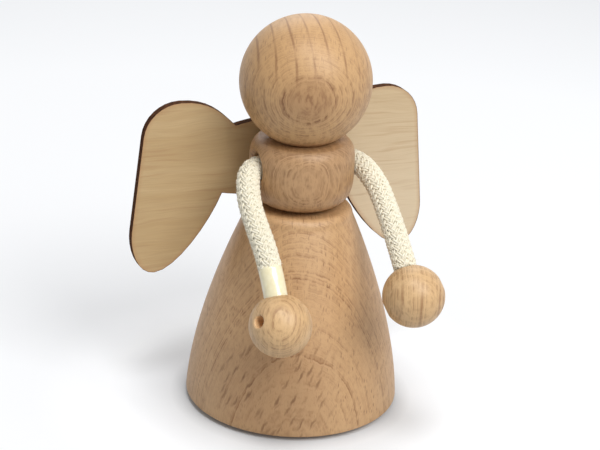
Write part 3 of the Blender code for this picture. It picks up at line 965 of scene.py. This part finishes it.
def braided_cord(name, points):
    """Wind the braid on a path and keep it as a plain mesh."""
    data = bpy.data.curves.new(name + "_guide", 'CURVE')
    data.dimensions = '3D'
    spline = data.splines.new('POLY')
    spline.points.add(len(points) - 1)
    for point, place in zip(spline.points, points):
        point.co = (*place, 1.0)
    guide = add_object(name + "_guide", data)
    modifier = guide.modifiers.new("braid", 'NODES')
    modifier.node_group = cotton_braid
    set_input(modifier, "Points", round(run_length(points) / BRAID_SPACING))
    set_input(modifier, "Finish", cord_cotton)
    mesh = plain_mesh(guide)
    bpy.data.objects.remove(guide)
    mesh.name = name
    return add_object(name, mesh)


cords, cord_paths, sleeve_paths = {}, {}, {}
for side, run in arm_runs.items():
    hand_edge = run_length(run) - BEAD_RADIUS
    cord_end = hand_edge - SLEEVE_SHOWING[side]
    middle = Vector((OUTWARDS[side] * INNER_END, 0.0, ARM_HEIGHT))
    bore_points = [middle.lerp(run[0], k / BORE_POINTS) for k in range(BORE_POINTS)]
    cord_paths[side] = bore_points + cut_run(run, 0.0, cord_end)
    sleeve_paths[side] = cut_run(run, cord_end - TAPE_LAP[side],
                                 hand_edge + BEAD_SOCKET_DEPTH - FIT_GAP, TAPE_SPACING)
    cords[side] = braided_cord(side + "_arm_braid", cord_paths[side])
    print(side, "cord", round(run_length(cord_paths[side]) * 1000, 1), "mm,",
          len(cords[side].data.polygons), "faces")

# %% [markdown]
# The cut ends of the cord are wrapped in clear tape against fraying and glued into the hands. On the
# right arm a few millimetres show: glossy, yellowish and a little narrower than the cord. Tape over a
# braid could be two layers; so little shows that one glossy tube carries the weave as a faint painted
# shade in the braid's gaps and a bump.

# %% Taped ends
SLEEVE_RADIUS = 0.0029
WRAP_STEP = 0.00007
WRAP_TURNS = 0.25
SLEEVE_SIDES = 48
TUCK = 0.0005
TUCK_RINGS = 3
TAPE_DEEP, TAPE_PALE, WEAVE_SHADE = (0.86, 0.78, 0.48), (0.92, 0.87, 0.66), (0.66, 0.55, 0.26)


def tape(name):
    material, shader, coords = start_material(name, 0.28)
    cross = attribute(coords.tree, "wrap_around") * 8.0
    wind = attribute(coords.tree, "wrap_along") * 450.0
    first, second = calc('PINGPONG', cross + wind, 0.5), calc('PINGPONG', cross - wind, 0.5)
    weave = calc('MINIMUM', first, second) * 2.0
    cloud = noise(coords, scale=500.0)
    # Painted shade in the gaps of the braid under the tape
    colour = tint((1.0 - weave) * 0.2, tint(cloud, TAPE_DEEP, TAPE_PALE), WEAVE_SHADE)
    feed(shader, {"Base Color": colour, "Coat Weight": 1.0, "Coat Roughness": 0.14,
                  "Specular IOR Level": 0.6, "Normal": bump(cloud + weave * 0.3, 0.00010, 0.3)})
    return material


def ring_frames(points):
    """A steady pair of cross directions along a run."""
    side = (points[1] - points[0]).normalized().orthogonal()
    for k, point in enumerate(points):
        ahead = (points[min(k + 1, len(points) - 1)] - points[max(k - 1, 0)]).normalized()
        side = (side - ahead * side.dot(ahead)).normalized()
        yield point, side, ahead.cross(side)


def taped_end(name, points, material):
    """A closed tube with a lapped edge that winds slowly along it; its start tucks into the braid."""
    bm = bmesh.new()
    around = bm.verts.layers.float.new("wrap_around")
    along = bm.verts.layers.float.new("wrap_along")
    rings = []
    for k, (point, first, second) in enumerate(ring_frames(points)):
        end_round = TUCK * max(0.0, 1.0 - k / TUCK_RINGS)
        ring = []
        for j in range(SLEEVE_SIDES):
            share = j / SLEEVE_SIDES
            lap = (share + WRAP_TURNS * k / len(points)) % 1.0
            radius = SLEEVE_RADIUS - end_round - WRAP_STEP * lap
            angle = 2 * math.pi * share
            vert = bm.verts.new(point + (first * math.cos(angle) + second * math.sin(angle)) * radius)
            vert[around] = share if share < 0.5 else 1.0 - share
            vert[along] = k / len(points) * run_length(points)
            ring.append(vert)
        rings.append(ring)
    skin(bm, rings)
    bm.faces.new(rings[0][::-1])
    bm.faces.new(rings[-1])
    return add_piece(name, bm, material, sharp_angle=60.0)


end_tape = tape("end_tape")
sleeves = {side: taped_end(side + "_taped_end", path, end_tape) for side, path in sleeve_paths.items()}
print("taped ends", [round(run_length(path) * 1000, 1) for path in sleeve_paths.values()], "mm")

# %% [markdown]
# The hands are ordinary wooden beads with a threading hole and a socket for the taped end of the cord.
# The hole is part of the spun profile; the socket runs another way, so a tool drills it. Beads come
# from other sticks than the body, so each one has its own grain and its own place of the pith.

# %% Hands
BEAD_HOLE_RADIUS = 0.0014
BEAD_HOLE_TURN = math.radians(27.0)
BEAD_HOLE_TILT = math.radians(9.0)
RIM_ROUND = 0.0004
RIM_STEPS = 6
SOCKET_EDGE = ((0.0, -0.0003), (0.0002, 0.0), (0.0008, 0.0006))
WELD_DISTANCE = 0.0000005
BEAD_LIGHT = (0.67, 0.460, 0.248)
BEAD_DARK = (0.30, 0.150, 0.060)
GRAIN_TILT = {"right": math.radians(38.0), "left": math.radians(12.0)}
BEAD_PITH = {"right": (0.030, 0.0), "left": (0.0, 0.1)}
BEAD_FIGURE = {"right": {"spacing": 0.0005, "bow": (0.0, -0.011)},
               "left": {"spacing": 0.0011, "strong_rings": (0.0046, 0.0029, 0.0055, 0.0015)}}


def bead_profile():
    """Closed section of a bead about its threading hole: outer ball, soft rims and hole wall."""
    edge = math.degrees(math.acos((BEAD_HOLE_RADIUS + RIM_ROUND) / BEAD_RADIUS))
    outer = arc((0.0, 0.0), BEAD_RADIUS, -edge, edge, 56)
    rim = (BEAD_HOLE_RADIUS + RIM_ROUND, outer[-1][1] - RIM_ROUND)
    rim = arc(rim, RIM_ROUND, 90.0, 180.0, RIM_STEPS)[1:]
    lower_rim = [(radius, -height) for radius, height in reversed(rim)]
    return lower_rim + outer + rim + [lower_rim[0]]


def socket_tool(middle, along):
    """A drill for the cord's end, flared a little at the bead's surface."""
    reach, top = BEAD_RADIUS - BEAD_SOCKET_DEPTH, 2 * BEAD_RADIUS
    radius = CORD_RADIUS + FIT_GAP
    mouth = math.sqrt(BEAD_RADIUS ** 2 - radius ** 2)
    edge = [(radius + wider, mouth + further) for wider, further in SOCKET_EDGE]
    bm = spin([(0.0, reach), (radius, reach), *edge, (edge[-1][0], top), (0.0, top)], 72)
    bm.transform(Matrix.Translation(middle) @ aim(-along))
    return add_piece("socket_tool", bm, skirt_beech)


def hole_direction(side, along):
    """The threading hole lies across the arm, turned to the front and tilted a little."""
    out = Vector((OUTWARDS[side], 0.0, 0.0))
    out = (out - along * out.dot(along)).normalized()
    front = along.cross(out) * OUTWARDS[side]
    level = out * math.cos(BEAD_HOLE_TURN) + front * math.sin(BEAD_HOLE_TURN)
    return (level * math.cos(BEAD_HOLE_TILT) - along * math.sin(BEAD_HOLE_TILT)).normalized()


def bead_beech(side, middle, hole):
    """Beech for one bead. The grain stands nearly upright; on the right the pith lies behind, so that
    tall rings close on the front, and on the left it lies to one side, so that the lines run straight."""
    away = Vector((-math.sin(CAMERA_AZIMUTH), math.cos(CAMERA_AZIMUTH), 0.0))
    lean = GRAIN_TILT[side]
    grain = away * math.sin(lean) + Vector((0.0, 0.0, math.cos(lean)))
    behind, beside = BEAD_PITH[side]
    pith = (away.x * behind + away.y * beside, away.y * behind - away.x * beside)
    return beech(side + "_bead_beech", BEAD_LIGHT, BEAD_DARK, pith, turn=tuple(aim(grain).to_euler()),
                 centre=tuple(middle), ring_strength=1.5, fleck_strength=0.35, roughness=0.42,
                 hole=tuple(hole), **BEAD_FIGURE[side])


hands = {}
for side, run in arm_runs.items():
    middle = run[-1]
    last = arm_points(side)[-2:]
    along = (last[1] - last[0]).normalized()
    hole = hole_direction(side, along)
    bm = spin(bead_profile(), 128)
    bmesh.ops.remove_doubles(bm, verts=bm.verts, dist=WELD_DISTANCE)
    bm.transform(Matrix.Translation(middle) @ aim(hole))
    hands[side] = add_piece(side + "_hand", bm, bead_beech(side, middle, hole))
    bore(hands[side], socket_tool(middle, along), sharp_angle=45.0)
    print(side, "hand at", [round(value * 1000, 1) for value in middle])

# %% [markdown]
# Every piece but the cords is tied to the body that carries it. A cord that rode on one body would
# break at the hinge, so each cord is baked where it lies and tied to no body. The dowels are hidden,
# and only get a plain beech finish.

# %% Ride on the bodies
for piece, node in ((skirt, "skirt"), (bust, "bust"), (head, "head"), (wings, "wings")):
    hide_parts(node)
    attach(piece, "figure")

for node in ("neck_dowel", "waist_dowel"):
    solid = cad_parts[node]
    solid.data.materials.clear()
    solid.data.materials.append(head_beech)

BORE_RUN = 0.0028
BEND_LENGTH = 0.020
for side, run in arm_runs.items():
    shoulder, arm = side + "_shoulder", side + "_arm"
    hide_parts(side + "_shoulder_cord", side + "_arm_cord")
    bend_end = cut_run(run, 0.0, BORE_RUN + BEND_LENGTH)[-1]
    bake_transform(cords[side])
    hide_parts(side + "_cord_sleeve")
    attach(sleeves[side], arm)
    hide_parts(side + "_hand_bead")
    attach(hands[side], arm)
    run_length(cord_paths[side])

# %% [markdown]
# The photo has a white ground with a soft shadow near the figure. A floor that only catches shadows
# would lose the light it throws back on the wood, so the floor is a real pale surface that turns white
# for the camera further off. The world is white to the camera and gives an even fill.

# %% Floor
WHITE = (1.0, 1.0, 1.0, 1.0)
FLOOR_COLOUR = (0.605, 0.62, 0.645, 1.0)
FLOOR_GLOW = ((0.026, 0.0), (0.031, 0.22), (0.045, 0.38), (0.065, 0.31), (0.14, 0.36), (0.28, 0.38),
              (0.45, 0.31), (0.75, 0.72), (1.0, 0.97))
FLOOR_HALF_WIDTH = 6.0
FLOOR_DROP = 0.00002
FILL = 0.34


def background_rays(tree):
    """1 for rays that show the background: from the camera, off a gloss or through glass."""
    rays = add_node('ShaderNodeLightPath', tree=tree)
    mirrored = calc('MAXIMUM', Term(rays, "Is Glossy Ray"), Term(rays, "Is Transmission Ray"))
    return calc('MAXIMUM', Term(rays, "Is Camera Ray"), mirrored)


def floor_finish():
    """Pale floor that keeps the shadows near the figure and turns white for the camera further off."""
    material, shader, coords = start_material("floor_white", 0.9)
    glow = ramp(vector_calc('LENGTH', coords), *FLOOR_GLOW)
    feed(shader, {"Base Color": FLOOR_COLOUR, "Specular IOR Level": 0.0, "Emission Color": WHITE,
                  "Emission Strength": glow * background_rays(coords.tree)})
    return material


floor_mesh = bmesh.new()
bmesh.ops.create_grid(floor_mesh, x_segments=1, y_segments=1, size=FLOOR_HALF_WIDTH)
floor = add_piece("floor", floor_mesh, floor_finish())
floor.location.z = -FLOOR_DROP

world = bpy.data.worlds.new("studio")
scene.world = world
world.use_nodes = True
fill = calc('MULTIPLY_ADD', background_rays(world.node_tree), 1.0 - FILL, FILL)
feed(world.node_tree.nodes["Background"], {"Color": WHITE, "Strength": fill})
print("floor and world ready")

# %% [markdown]
# The light in the photo is soft, so the lamps are wide areas and not points. A large one stands high in
# front, a little to the figure's left, a smaller one above makes the soft patch on the head, and a weak
# one behind keeps the back readable.

# %% Lamps
def lamp(name, azimuth, elevation, distance, size, level, colour):
    """A soft square lamp that looks at the figure from a direction in degrees. level is the brightness
    it gives to a white card that faces it."""
    data = bpy.data.lights.new(name, 'AREA')
    data.shape = 'SQUARE'
    data.size = size
    data.energy = level * (math.pi * distance) ** 2
    data.color = colour
    item = add_object(name, data)
    item.location = outward(math.radians(azimuth), math.radians(elevation)) * distance + AIM_POINT
    item.rotation_euler = (AIM_POINT - item.location).to_track_quat('-Z', 'Y').to_euler()


lamp("key", 18.0, 44.0, 0.9, 0.50, 0.67, (1.0, 0.985, 0.96))
lamp("top_patch", -20.0, 72.0, 0.8, 0.22, 0.32, (1.0, 1.0, 1.0))
lamp("rear", 165.0, 38.0, 1.0, 0.6, 0.22, (1.0, 1.0, 1.0))
scene.view_settings.view_transform = 'Standard'
